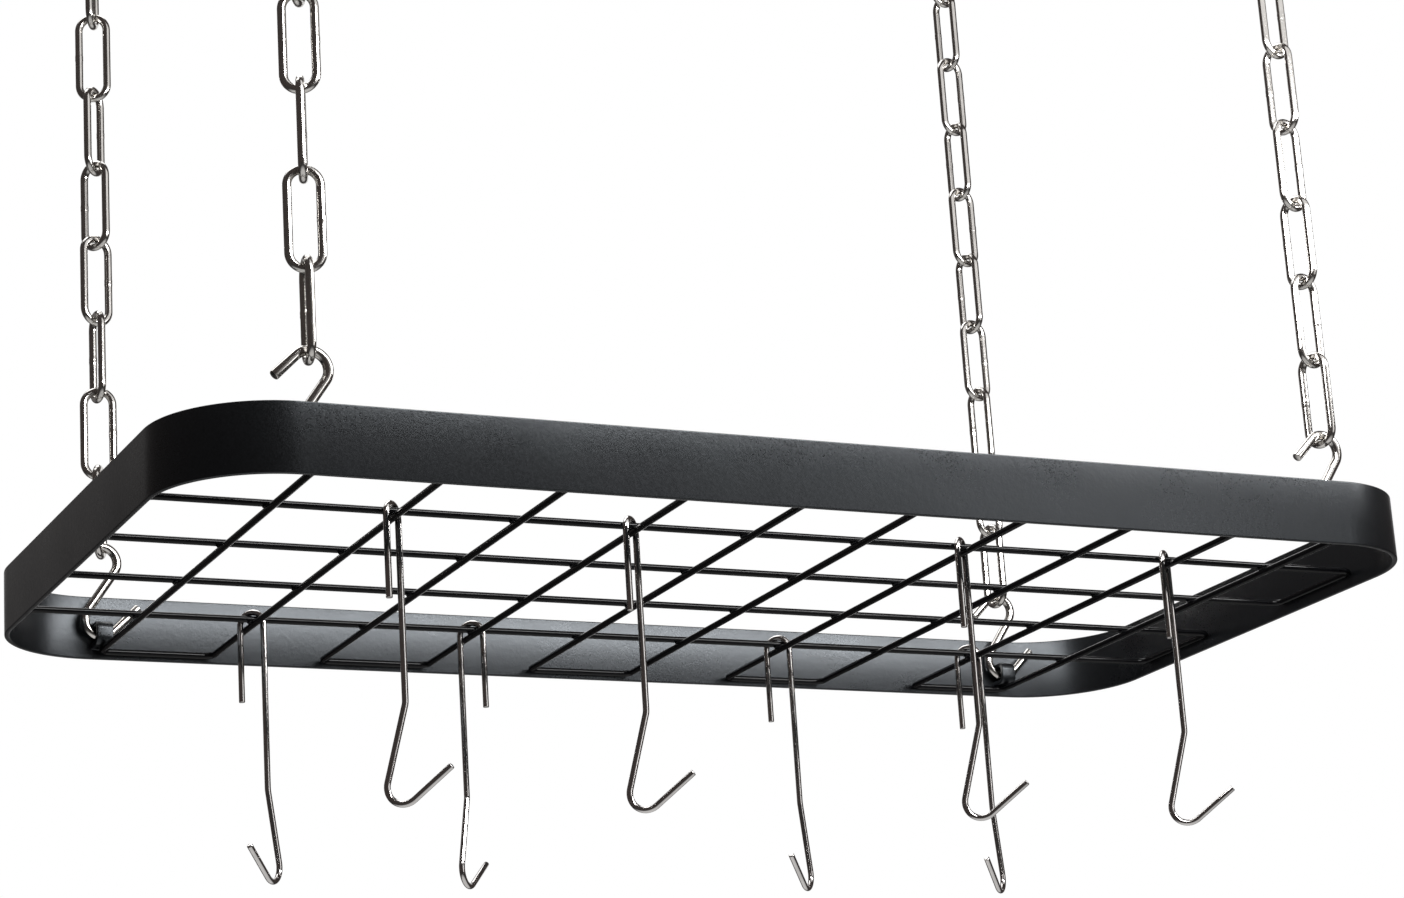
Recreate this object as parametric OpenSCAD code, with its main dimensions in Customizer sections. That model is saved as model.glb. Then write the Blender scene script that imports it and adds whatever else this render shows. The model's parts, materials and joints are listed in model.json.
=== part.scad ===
// Hanging pot rack: a flat-bar frame with a wire grid, hung on four chains, with eight pot hooks.
// Origin: on the ceiling, in the middle of the four ceiling hooks. +X along the rack, +Y to the back, +Z up.

/* [Frame] */
// Length of the bar frame, outside
frame_length = 762; // [660:1:1000]
// Width of the bar frame, outside
frame_width = 400; // [320:1:520]
// Height of the flat bar
bar_height = 38; // [32:0.5:60]
// Thickness of the flat bar
bar_thickness = 3; // [2:0.1:5]
// Outside radius of the frame's four corners
corner_radius = 63.5; // [30:0.5:110]

/* [Wire grid] */
// Diameter of the grid's wire
grid_wire_d = 4; // [3:0.1:6]
// Distance between cross wires
cross_pitch = 69; // [45:0.5:84]
// Number of closed loops in the cross layer, with two cross wires each
cross_loops = 5; // [2:1:5]
// Distance between long wires
long_pitch = 79; // [50:0.5:110]
// Number of closed loops in the long layer, with two long wires each
long_loops = 2; // [1:1:2]
// Height of the cross wires above the bottom edge of the bar
grid_rise = 2; // [1:0.1:6]
// Bend radius at the corners of a wire loop, at the middle of the wire
loop_bend_radius = 6; // [4:0.5:14]
// How far two welded wires sink into each other
weld_sink = 0.05; // [0.01:0.01:0.05]

/* [Hanger lugs] */
// Distance from the frame's end to the middle of a lug
lug_inset = 70.5; // [60:0.5:150]
// Width of the lug's strap along the bar
lug_strap_width = 10; // [6:0.5:12]
// Thickness of the lug's strap
lug_strap_thickness = 3; // [2:0.1:3.5]
// Clear depth between the bar and the front wall of a lug
lug_opening_depth = 11; // [9:0.5:16]
// Radius on the outside of the lug's two bends
lug_bend_radius = 5; // [3.6:0.1:6]

/* [S-hooks] */
// Diameter of the S-hook's wire
s_hook_wire_d = 5.5; // [4.5:0.1:6.5]
// Height of an S-hook, outside
s_hook_height = 61; // [58:0.5:80]
// Radius of both curls, at the middle of the wire
s_hook_curl_radius = 10; // [9.5:0.1:11]
// Straight length of the tail on the upper curl, to its cut end
s_hook_upper_tail = 17; // [5:0.5:19]
// Straight length of the tail on the lower curl, to its cut end
s_hook_lower_tail = 22; // [5:0.5:24]

/* [Chains] */
// Diameter of the chain's wire
link_wire_d = 4.75; // [3.5:0.05:5]
// Length inside a link, which is the pitch of the chain
link_inner_length = 49.5; // [38:0.5:60]
// Width inside a link
link_inner_width = 12.5; // [8.5:0.1:16]
// Number of links in each chain, always even so that both end links lie the right way
links_per_chain = 10; // [10:2:20]

/* [Ceiling hooks] */
// Diameter of the ceiling hook's wire and of its thread
ceiling_hook_d = 6; // [5:0.1:6.5]
// Radius of the ceiling hook's bowl, at the middle of the wire
ceiling_hook_radius = 11; // [10:0.1:18]
// Straight length at its open end
ceiling_hook_tip = 3; // [1:0.5:5]
// Bend radius of its neck, at the middle of the wire
ceiling_hook_neck_radius = 5; // [4:0.1:8]
// Straight length between bowl and neck
ceiling_hook_lean = 2; // [1:0.5:10]
// Length of bare shank under the ceiling
ceiling_hook_neck = 14; // [3:0.5:30]
// Length of plain shank above the ceiling
ceiling_hook_plain = 6; // [4:0.5:12]
// Number of thread turns
thread_turns = 8; // [4:1:14]
// Pitch of the thread
thread_pitch = 2.4; // [1.8:0.1:3]
// Depth of the thread
thread_depth = 0.7; // [0.4:0.05:1]
// Length of the pointed tip
thread_tip = 6; // [4:0.5:10]

/* [Pot hooks] */
// Diameter of a pot hook's wire
pot_hook_wire_d = 3.6; // [3:0.1:4]
// Distance between the two legs that straddle the grid, middle to middle
saddle_width = 15; // [14.5:0.1:20]
// Length of the short leg, from the middle of the saddle's bend
short_leg = 45.6; // [20:0.2:70]
// Length of the long leg, from the middle of the saddle's bend to the kink
long_leg = 97.7; // [70:0.1:140]
// Angle that the shank leans back below the kink
kink_angle = 16; // [8:0.5:22]
// Bend radius at the kink, at the middle of the wire
kink_radius = 9; // [5:0.5:20]
// Straight length from the kink to the hook's bowl
lean_length = 41.3; // [25:0.1:50]
// Radius of the hook's bowl, at the middle of the wire
bowl_radius = 9.7; // [7:0.1:16]
// Angle of the tail above level
tail_angle = 35; // [20:1:50]
// Straight length of the tail
tail_length = 26.7; // [12:0.1:34]

/* [Fits] */
// Gap between pieces that move on each other
running_gap = 0.3; // [0.3:0.05:0.5]
// Chamfer on the cut end of a wire
end_chamfer = 0.4; // [0.2:0.05:0.6]

/* [Hidden] */
$fn = 64;
NICKEL = "#b9b6b2";
CHROME = "#c4c2c1";
ZINC = "#a9abad";
BLACK_COAT = "#2c2d2f";
BLACK_ENAMEL = "#161617";

SIDES = ["front", "back"];
ENDS = ["left", "right"];

// Which grid crossing each pot hook hangs on, counted along the cross wires from the left
HOOK_CROSSINGS = [2, 4, 7, 9];
hooks_per_side = len(HOOK_CROSSINGS);
// Turn of each pot hook about the vertical, so that its saddle straddles a crossing corner to corner
FRONT_HOOK_TURN = [45, 45, 45, 45];
BACK_HOOK_TURN = [-45, 135, -45, -45];

// Links that are a piece of their own; the ones below them hang as one group
SINGLE_LINKS = 7;

// Twist of each chain about the vertical: angle of its lowest link, and angle added by each link above it
TWIST = [["front_left", -9, -6], ["front_right", 15, 0], ["back_left", -28, 15], ["back_right", 9, 0.5]];
// Number of links over which a chain twists; the ones above keep its last angle
TWISTED_LINKS = 6;

// A bend is drawn a hair thicker than the straight wire, which runs a little way into it
BEND_SWELL = 0.02;
BEND_OVERLAP = 0.2;
// How far a cutting shape stands out of the solid that it cuts
CUT_MARGIN = 1;

// Chain, from the ceiling down: heights of the middle of each wire where two pieces meet
MOUTH_ANGLE = 20;
bowl_and_neck = ceiling_hook_radius + ceiling_hook_neck_radius;
bowl_to_neck = sqrt(bowl_and_neck * bowl_and_neck + ceiling_hook_lean * ceiling_hook_lean);
neck_turn = acos(ceiling_hook_neck_radius / bowl_to_neck) - acos(bowl_and_neck / bowl_to_neck);
neck_above_bowl = sqrt(bowl_to_neck * bowl_to_neck - ceiling_hook_neck_radius * ceiling_hook_neck_radius);
ceiling_bowl_z = -(ceiling_hook_neck + neck_above_bowl);
ceiling_saddle_z = ceiling_bowl_z - ceiling_hook_radius;
link_bend_radius = (link_inner_width + link_wire_d) / 2;
link_straight = link_inner_length - link_inner_width;
link_step = link_inner_length - running_gap;
top_link_z = ceiling_saddle_z + ceiling_hook_d / 2 + running_gap - link_inner_length / 2;
bottom_link_z = top_link_z - (links_per_chain - 1) * link_step;
bottom_link_floor_z = bottom_link_z - link_inner_length / 2;

// S-hook: both curls have one radius, and the spine is the line that touches both
s_hook_top_z = bottom_link_floor_z + running_gap + s_hook_wire_d;
curl_distance = s_hook_height - s_hook_wire_d - 2 * s_hook_curl_radius;
upper_curl_z = s_hook_top_z - s_hook_wire_d / 2 - s_hook_curl_radius;
lower_curl_z = upper_curl_z - curl_distance;
spine_lean = asin(2 * s_hook_curl_radius / curl_distance);
spine_length = curl_distance * cos(spine_lean);
S_TAIL_ANGLE = 45;
curl_turn = 90 + spine_lean + S_TAIL_ANGLE;

// Lug: the strap's upper leg rests inside the lower curl, its lower leg passes under the curl
curl_clear_radius = s_hook_curl_radius - s_hook_wire_d / 2 - running_gap;
lug_leg_drop = sqrt(curl_clear_radius * curl_clear_radius - lug_strap_width * lug_strap_width / 4);
lug_upper_leg_floor_z = lower_curl_z - lug_leg_drop;
lug_top_z = lug_upper_leg_floor_z + lug_strap_thickness;
lug_lower_leg_top_z = lower_curl_z - s_hook_curl_radius - s_hook_wire_d / 2 - running_gap;
lug_bottom_z = lug_lower_leg_top_z - lug_strap_thickness;

// Frame and grid hang from the lugs: the lugs stand just above the cross wires
cross_wire_z = lug_bottom_z - running_gap - grid_wire_d / 2;
frame_bottom_z = cross_wire_z - grid_wire_d / 2 - grid_rise;
long_wire_z = cross_wire_z + grid_wire_d - weld_sink;

// Places along the rack
lug_x = frame_length / 2 - lug_inset;
chain_y = frame_width / 2 - bar_thickness - lug_opening_depth / 2;
// A wire loop's end lies on the bar's inner face, or, where the corner begins before the wire, its bend does
loop_in_corner = corner_radius - bar_thickness - loop_bend_radius - grid_wire_d / 2 + weld_sink;
long_reach = loop_reach(frame_length / 2, frame_width / 2, long_wire_y(2 * long_loops));
cross_reach = loop_reach(frame_width / 2, frame_length / 2, cross_wire_x(2 * cross_loops));

// Pot hook: the saddle's bend rests on the long wire
saddle_radius = saddle_width / 2;
saddle_bend_z = long_wire_z + (grid_wire_d + pot_hook_wire_d) / 2 + running_gap - saddle_radius;

function cross_wire_x(count) = (count - cross_loops - 0.5) * cross_pitch;
function long_wire_y(count) = (count - long_loops - 0.5) * long_pitch;
function loop_reach(half_along, half_across, outer_wire) =
    let (into_corner = max(0, outer_wire - loop_bend_radius - half_across + corner_radius))
        half_along - corner_radius + loop_bend_radius
            + sqrt(max(0, loop_in_corner * loop_in_corner - into_corner * into_corner));
function twist_of(side, end) = [for (t = TWIST) if (t[0] == str(side, "_", end)) t][0];
function link_twist(side, end, count) =
    twist_of(side, end)[1] + twist_of(side, end)[2] * min(links_per_chain - count, TWISTED_LINKS);
function chain_name(side, end) = str("chain_", side, "_", end);
function side_sign(side) = side == "front" ? -1 : 1;
function end_sign(end) = end == "left" ? -1 : 1;

// Round wire bent on a bench. Each step is [straight length, bend radius, turn, roll]: a turn to the left
// counts up, and the roll tips the bending plane before the step. The wire starts at the origin along +X.
module bent_wire(d, steps, closed = false, count = 0) {
    if (count < len(steps)) {
        step = steps[count];
        side = step[2] < 0 ? -1 : 1;
        last = count == len(steps) - 1;
        rotate([step[3], 0, 0]) {
            straight_wire(d, step[0], !closed && count == 0, !closed && last);
            if (step[2] != 0)
                translate([step[0], side * step[1], 0])
                    rotate([0, 0, step[2] < 0 ? 90 + step[2] : -90])
                        rotate_extrude(angle = abs(step[2]))
                            translate([step[1], 0])
                                circle(d = d + BEND_SWELL);
            translate([step[0] + step[1] * sin(abs(step[2])), side * step[1] * (1 - cos(step[2])), 0])
                rotate([0, 0, step[2]])
                    bent_wire(d, steps, closed, count + 1);
        }
    }
}

// Straight stretch along +X; a cut end is chamfered, the other end runs into the bend that follows
module straight_wire(d, run, cut_start, cut_end) {
    start = cut_start ? 0 : -BEND_OVERLAP;
    stop = cut_end ? run : run + BEND_OVERLAP;
    start_d = cut_start ? d - 2 * end_chamfer : d;
    end_d = cut_end ? d - 2 * end_chamfer : d;
    rotate([0, 90, 0])
        rotate_extrude()
            polygon([[0, start], [start_d / 2, start], [d / 2, start + (d - start_d) / 2],
                     [d / 2, stop - (d - end_d) / 2], [end_d / 2, stop], [0, stop]]);
}

// Closed rectangle of wire around the origin, in the XY plane
module wire_rectangle(d, half_x, half_y, bend) {
    x_run = [2 * (half_x - bend), bend, 90, 0];
    y_run = [2 * (half_y - bend), bend, 90, 0];
    translate([-half_x + bend, -half_y, 0])
        bent_wire(d, [x_run, y_run, x_run, y_run], closed = true);
}

module rounded_slab(length, width, radius, height) {
    linear_extrude(height = height)
        union() {
            square([length - 2 * radius, width], center = true);
            square([length, width - 2 * radius], center = true);
            for (x = [-1, 1], y = [-1, 1])
                translate([x * (length / 2 - radius), y * (width / 2 - radius)])
                    circle(r = radius);
        }
}

// Flat bar rolled into a rounded rectangle and welded shut
module bar_frame() {
    inside = 2 * bar_thickness;
    color(BLACK_COAT)
        translate([0, 0, frame_bottom_z])
            difference() {
                rounded_slab(frame_length, frame_width, corner_radius, bar_height);
                translate([0, 0, -CUT_MARGIN])
                    rounded_slab(frame_length - inside, frame_width - inside,
                                 corner_radius - bar_thickness, bar_height + 2 * CUT_MARGIN);
            }
}

// Two cross wires, joined along the front and back bars
module cross_wire_loop(count) {
    middle_x = (cross_wire_x(2 * count - 1) + cross_wire_x(2 * count)) / 2;
    color(BLACK_ENAMEL)
        translate([middle_x, 0, cross_wire_z])
            wire_rectangle(grid_wire_d, cross_pitch / 2, cross_reach, loop_bend_radius);
}

// Two long wires, joined along the left and right bars
module long_wire_loop(count) {
    middle_y = (long_wire_y(2 * count - 1) + long_wire_y(2 * count)) / 2;
    color(BLACK_ENAMEL)
        translate([0, middle_y, long_wire_z])
            wire_rectangle(grid_wire_d, long_reach, long_pitch / 2, loop_bend_radius);
}

// Places a piece at one of the four hanging points; at the back the piece is turned to face the front
module at_chain(side, end) {
    translate([end_sign(end) * lug_x, side_sign(side) * chain_y, 0])
        children();
}

// Strap folded into a U and welded to the inside of the bar; the S-hook passes through it sideways.
// Drawn for the back bar, whose inner face lies at +Y.
module hanger_lug(side, end) {
    depth = lug_opening_depth + lug_strap_thickness;
    height = lug_top_z - lug_bottom_z;
    color(BLACK_COAT)
        at_chain(side, end)
            rotate([0, 0, side == "back" ? 0 : 180])
                translate([lug_strap_width / 2, lug_opening_depth / 2, lug_bottom_z])
                    rotate([90, 0, -90])
                        linear_extrude(height = lug_strap_width)
                            difference() {
                                strap_outline(depth, height, lug_bend_radius);
                                translate([-CUT_MARGIN, lug_strap_thickness])
                                    strap_outline(depth - lug_strap_thickness + CUT_MARGIN,
                                                  height - 2 * lug_strap_thickness,
                                                  lug_bend_radius - lug_strap_thickness);
                            }
}

// Side view of a folded strap: a rectangle with the two far corners rounded
module strap_outline(depth, height, radius) {
    square([depth - radius, height]);
    translate([0, radius])
        square([depth, height - 2 * radius]);
    for (z = [radius, height - radius])
        translate([depth - radius, z])
            circle(r = radius);
}

// The wire runs from the upper tail over the upper curl, down the spine and around the lower curl
module s_hook(side, end) {
    color(NICKEL)
        at_chain(side, end)
            translate([0, 0, upper_curl_z])
                rotate([90, 0, 0])
                    rotate([0, 0, S_TAIL_ANGLE])
                        translate([-s_hook_upper_tail, s_hook_curl_radius, 0])
                            bent_wire(s_hook_wire_d,
                                      [[s_hook_upper_tail, s_hook_curl_radius, -curl_turn, 0],
                                       [spine_length, s_hook_curl_radius, curl_turn, 0],
                                       [s_hook_lower_tail, 0, 0, 0]]);
}

// One link, counted from the top; but for the twist, odd links lie along the rack and even links across it
module link(side, end, count) {
    half = [link_straight, link_bend_radius, 180, 0];
    translate([0, 0, top_link_z - (count - 1) * link_step])
        rotate([0, 0, (count % 2 == 1 ? 0 : 90) + link_twist(side, end, count)])
            rotate([90, 0, 0])
                rotate([0, 0, 90])
                    translate([-link_straight / 2, -link_bend_radius, 0])
                        bent_wire(link_wire_d, [half, half], closed = true);
}

module chain_link(side, end, count) {
    color(NICKEL)
        at_chain(side, end)
            link(side, end, count);
}

// The links below the single ones, each a solid of its own
module lower_links(side, end) {
    color(NICKEL)
        at_chain(side, end)
            for (count = [SINGLE_LINKS + 1:links_per_chain])
                link(side, end, count);
}

// Screw hook: threaded shank above the ceiling, bowl below it, turned square to the top link
module ceiling_hook(side, end) {
    bowl = [ceiling_hook_tip, ceiling_hook_radius, -(MOUTH_ANGLE + 180 + neck_turn), 0];
    neck = [ceiling_hook_lean, ceiling_hook_neck_radius, neck_turn, 0];
    color(ZINC)
        at_chain(side, end)
            rotate([0, 0, link_twist(side, end, 1)]) {
                screw_shank();
                translate([0, 0, ceiling_bowl_z])
                    rotate([90, 0, 90])
                        rotate([0, 0, MOUTH_ANGLE - 90])
                            translate([-ceiling_hook_tip, ceiling_hook_radius, 0])
                                bent_wire(ceiling_hook_d, [bowl, neck]);
            }
}

// Shank with a wood-screw thread, drawn as rings, and a pointed tip
module screw_shank() {
    outer = ceiling_hook_d / 2;
    core = outer - thread_depth;
    foot_z = -ceiling_hook_neck - BEND_OVERLAP;
    start_z = ceiling_hook_plain;
    tip_z = start_z + thread_turns * thread_pitch + thread_tip;
    // One turn: radius, and height as a share of the pitch
    ring = [[core, 1 / 3], [core, 1 / 2], [outer, 5 / 6], [outer, 1]];
    teeth = [for (i = [0:thread_turns - 1], p = ring) [p[0], start_z + (i + p[1]) * thread_pitch]];
    rotate_extrude()
        polygon(concat([[0, foot_z], [outer, foot_z], [outer, start_z]], teeth, [[0, tip_z]]));
}

// Wire hook: the saddle straddles a grid crossing, the bowl opens square to the saddle
module pot_hook(x, y, turn) {
    color(CHROME)
        translate([x, y, saddle_bend_z])
            rotate([0, 0, turn])
                translate([-saddle_radius, 0, -short_leg])
                    rotate([90, 0, 0])
                        rotate([0, 0, 90])
                            bent_wire(pot_hook_wire_d,
                                      [[short_leg, saddle_radius, -180, 0],
                                       [long_leg, kink_radius, -kink_angle, 90],
                                       [lean_length, bowl_radius, kink_angle + 90 + tail_angle, 0],
                                       [tail_length, 0, 0, 0]]);
}

module front_pot_hook(count) {
    pot_hook(cross_wire_x(HOOK_CROSSINGS[count - 1]), long_wire_y(1), FRONT_HOOK_TURN[count - 1]);
}

module back_pot_hook(count) {
    pot_hook(cross_wire_x(HOOK_CROSSINGS[count - 1]), long_wire_y(2 * long_loops), BACK_HOOK_TURN[count - 1]);
}

bar_frame();
for (i = [1:cross_loops])
    cross_wire_loop(i);
for (i = [1:long_loops])
    long_wire_loop(i);
for (s = SIDES, e = ENDS) {
    hanger_lug(s, e);
    s_hook(s, e);
    ceiling_hook(s, e);
    for (i = [1:SINGLE_LINKS])
        chain_link(s, e, i);
    lower_links(s, e);
}
for (i = [1:hooks_per_side]) {
    front_pot_hook(i);
    back_pot_hook(i);
}
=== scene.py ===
"""Hanging pot rack: a powder coated bar frame with a wire grid, hung on four chains, with eight pot hooks."""
import json
import math

import bpy
from bpy.props import FloatProperty, FloatVectorProperty, IntProperty, PointerProperty, StringProperty
from mathutils import Matrix, Vector


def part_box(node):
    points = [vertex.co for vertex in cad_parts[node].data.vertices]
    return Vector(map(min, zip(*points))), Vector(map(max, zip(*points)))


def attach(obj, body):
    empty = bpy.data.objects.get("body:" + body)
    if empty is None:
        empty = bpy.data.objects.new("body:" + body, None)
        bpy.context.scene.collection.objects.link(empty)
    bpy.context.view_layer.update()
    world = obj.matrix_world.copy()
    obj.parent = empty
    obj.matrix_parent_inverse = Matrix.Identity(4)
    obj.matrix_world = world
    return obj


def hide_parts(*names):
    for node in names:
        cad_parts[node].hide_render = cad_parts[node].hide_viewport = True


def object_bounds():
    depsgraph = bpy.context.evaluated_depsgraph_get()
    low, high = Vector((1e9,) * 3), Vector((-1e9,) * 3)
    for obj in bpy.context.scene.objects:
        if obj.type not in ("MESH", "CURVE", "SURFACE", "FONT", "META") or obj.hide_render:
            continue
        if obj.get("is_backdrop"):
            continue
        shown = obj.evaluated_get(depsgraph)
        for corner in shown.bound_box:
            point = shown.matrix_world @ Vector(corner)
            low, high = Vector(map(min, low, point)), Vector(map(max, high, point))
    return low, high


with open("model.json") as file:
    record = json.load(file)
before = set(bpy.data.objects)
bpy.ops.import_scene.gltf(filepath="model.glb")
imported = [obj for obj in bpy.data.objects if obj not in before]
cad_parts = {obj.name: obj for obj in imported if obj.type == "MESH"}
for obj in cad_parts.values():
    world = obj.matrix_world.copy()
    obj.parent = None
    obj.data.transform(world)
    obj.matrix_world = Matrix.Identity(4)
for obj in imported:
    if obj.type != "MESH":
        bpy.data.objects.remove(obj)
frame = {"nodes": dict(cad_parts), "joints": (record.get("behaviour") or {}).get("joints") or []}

bl_info = {
    "name": "Hanging Pot Rack",
    "version": (1, 0, 0),
    "blender": (4, 5, 0),
    "location": "View3D > Sidebar > Pot Rack",
    "description": "Builds a hanging pot rack on its measured frame",
    "category": "Add Mesh",
}

MM = 0.001
CORNERS = [f"{side}_{end}" for side in ("front", "back") for end in ("left", "right")]
CAD_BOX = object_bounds()


# ---- Places, read from the frame

def size_of(node):
    low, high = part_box(node)
    return high - low


def middle_of(node):
    low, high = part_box(node)
    return (low + high) / 2


def pivot_of(joint):
    return Vector(next(j for j in frame["joints"] if j["name"] == joint)["pos_m"])


def nodes_named(start):
    return sorted(n for n in frame["nodes"] if n.startswith(start))


BAR = size_of("bar_frame")
GRID_WIRE = size_of("cross_wire_loop_1").z
CROSS_LOOPS = nodes_named("cross_wire_loop_")
LONG_LOOPS = nodes_named("long_wire_loop_")
CROSS_Z = middle_of(CROSS_LOOPS[0]).z
LONG_Z = middle_of(LONG_LOOPS[0]).z
SINGLE_LINKS = len(nodes_named("chain_front_left_link_"))
LINK_PITCH = middle_of("chain_front_left_link_1").z - middle_of("chain_front_left_link_2").z
LOWER_LINKS = 1 + round((size_of("chain_front_left_lower_links").z - size_of("chain_front_left_link_1").z)
                        / LINK_PITCH)
LINKS = SINGLE_LINKS + LOWER_LINKS
RACK_MIDDLE = middle_of("bar_frame")

# Twist of each chain, in degrees: angle of its lowest link, and angle added by each link above it
TWIST = {"front_left": (-9, -6), "front_right": (15, 0), "back_left": (-28, 15), "back_right": (9, 0.5)}
TWISTED_LINKS = 6

# Which way each pot hook's saddle is turned about the vertical, in degrees
POT_HOOK_TURNS = {f"pot_hook_front_{i}": 45 for i in range(1, 5)} | {
    "pot_hook_back_1": -45, "pot_hook_back_2": 135, "pot_hook_back_3": -45, "pot_hook_back_4": -45}


# ---- Sizes and colours that a user would change

def mm(name, default, description):
    return FloatProperty(name=name, default=default * MM, description=description, unit="LENGTH", precision=5)


def degrees(name, default, description):
    return FloatProperty(name=name, default=math.radians(default), description=description, subtype="ANGLE")


def hex_colour(name, default, description):
    return StringProperty(name=name, default=default, description=description)


class RackSettings(bpy.types.PropertyGroup):
    bar_thickness: mm("Bar thickness", 3, "Thickness of the flat bar and of the lugs' strap")
    corner_radius: mm("Corner radius", 63.5, "Outside radius of the frame's corners")
    bar_edge: mm("Edge radius", 0.7, "How round the coat leaves the bar's edges")
    lug_bend: mm("Lug bend", 5, "Outside radius of a lug's bends")
    loop_bend: mm("Loop bend", 6, "Bend radius at the corners of a wire loop")
    weld_reach: mm("Weld bead", 1.1, "Radius of a weld bead")
    coat_colour: hex_colour("Powder coat", "#101113", "Colour of the powder coat")
    dip_colour: hex_colour("Grid coat", "#050506", "Colour of the grid's coat")


class HangingSettings(bpy.types.PropertyGroup):
    link_wire: mm("Link wire", 4.75, "Wire diameter of the links")
    link_length: mm("Link length", 49.5, "Length inside a link")
    link_width: mm("Link width", 12.5, "Width inside a link")
    weld_bulge: FloatProperty(name="Weld bulge", default=0.1, description="How much thicker a link is at its weld")
    curl_radius: mm("Curl radius", 10, "Radius of an S-hook's curls, at the middle of the wire")
    upper_tail: mm("Upper tail", 17, "Straight length of the tail on the upper curl")
    lower_tail: mm("Lower tail", 22, "Straight length of the tail on the lower curl")
    tail_angle: degrees("Tail angle", 45, "Slope of both tails of an S-hook")
    ceiling_wire: mm("Ceiling hook wire", 6, "Wire diameter of the ceiling hooks")
    bowl_radius: mm("Ceiling hook bowl", 11, "Radius of the ceiling hook's bowl, at the middle of the wire")
    neck_radius: mm("Ceiling hook neck", 5, "Bend radius of the ceiling hook's neck")
    bowl_lean: mm("Bowl to neck", 2, "Straight length between bowl and neck")
    bowl_tip: mm("Bowl tip", 3, "Straight length at the open end")
    mouth: degrees("Mouth", 20, "Angle of the bowl's open end above level")
    neck_length: mm("Neck length", 14, "Length of bare shank under the ceiling")
    plain_length: mm("Plain shank", 6, "Length of plain shank above the ceiling")
    thread_turns: IntProperty(name="Thread turns", default=8, description="Number of thread turns")
    thread_pitch: mm("Thread pitch", 2.4, "Pitch of the thread")
    thread_depth: mm("Thread depth", 0.7, "Depth of the thread")
    nickel_colour: hex_colour("Nickel", "#d3d0cc", "Colour of the nickel plate")
    zinc_colour: hex_colour("Zinc", "#b4b7ba", "Colour of the zinc plate")


class PotHookSettings(bpy.types.PropertyGroup):
    wire: mm("Pot hook wire", 3.6, "Wire diameter of the pot hooks")
    saddle_width: mm("Saddle width", 15, "Distance between the two legs")
    short_leg: mm("Short leg", 45.6, "Length of the short leg")
    long_leg: mm("Long leg", 97.7, "Length of the long leg down to the kink")
    kink: degrees("Kink", 16, "Angle that the shank leans back below the kink")
    kink_radius: mm("Kink radius", 9, "Bend radius at the kink")
    lean_length: mm("Lean", 41.3, "Straight length from the kink to the bowl")
    bowl_radius: mm("Bowl radius", 9.7, "Radius of the bowl, at the middle of the wire")
    tail_angle: degrees("Tail angle", 35, "Slope of the tail")
    tail_length: mm("Tail", 26.7, "Straight length of the tail")
    chrome_colour: hex_colour("Chrome", "#d2cfcd", "Colour of the chrome plate")


class StudioSettings(bpy.types.PropertyGroup):
    floor_depth: mm("Floor", 2700, "How far the floor lies below the ceiling")
    lens: FloatProperty(name="Lens", default=88.67, description="Focal length in mm on a 36 mm sensor")
    camera_place: FloatVectorProperty(name="Camera", default=(-0.8704, -1.7710, -0.5109), subtype="TRANSLATION",
                                      description="Where the camera stands, from the middle of the bar frame")
    camera_shift: FloatVectorProperty(name="Shift", size=2, default=(-0.0536, 0.0246),
                                      description="Shift of the picture, as a part of its width")
    azimuth: degrees("Azimuth", 27.46, "Angle of the view round the rack, from the front")
    elevation: degrees("Elevation", 15.89, "Angle at which the camera looks up")
    roll: degrees("Roll", -4.06, "Roll of the camera")


SETTINGS = {
    "pot_rack_frame": RackSettings,
    "pot_rack_hanging": HangingSettings,
    "pot_rack_hooks": PotHookSettings,
    "pot_rack_studio": StudioSettings,
}


# ---- Node trees

# Short names for the kinds of node that come up most
MATH, RANGE, NOISE = "ShaderNodeMath", "ShaderNodeMapRange", "ShaderNodeTexNoise"
MIX, BUMP, VECTOR_MATH = "ShaderNodeMix", "ShaderNodeBump", "ShaderNodeVectorMath"

QUARTER_TURN = math.radians(90)
# Points round each kind of wire
LOOP_SIDES, LINK_SIDES, BEAD_SIDES = 20, 16, 12
S_HOOK_SIDES, SCREW_SIDES, POT_HOOK_SIDES = 28, 28, 24
# Steps in each bend and each rounded edge, and the distance between points along a link
BAR_CORNER_STEPS, LOOP_BEND_STEPS, LINK_BEND_STEPS = 32, 8, 12
BAR_EDGE_STEPS, STRAP_EDGE_STEPS = 4, 3
LINK_POINT_GAP = 0.7 * MM
# A link's weld: how far the bulge and the groove reach along the wire, and the groove's depth in wire radii
WELD_REACH, GROOVE_REACH = 2.8 * MM, 0.8 * MM
GROOVE_DEPTH = 0.09
# A grid weld is a ball spread to this shape, turned by up to so many radians and sized within these limits
BLOB_SHAPE = (2.2, 2.2, 0.9)
BLOB_MOST_SPIN = 3.0
BLOB_SIZES = (0.85, 1.1)
# Where the flanks of the thread leave its root and reach its crest
THREAD_ROOT, THREAD_CREST = 0.66, 0.96
# Part of a turn that the thread may run on, so that rounding doesn't drop its last point
THREAD_SLACK = 0.001


def linear(colour):
    """An sRGB hex colour, such as "#2c2d2f", as linear RGBA."""
    parts = [int(colour[i:i + 2], 16) / 255 for i in (1, 3, 5)]
    return tuple(c / 12.92 if c <= 0.04045 else ((c + 0.055) / 1.055) ** 2.4 for c in parts) + (1.0,)


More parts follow.
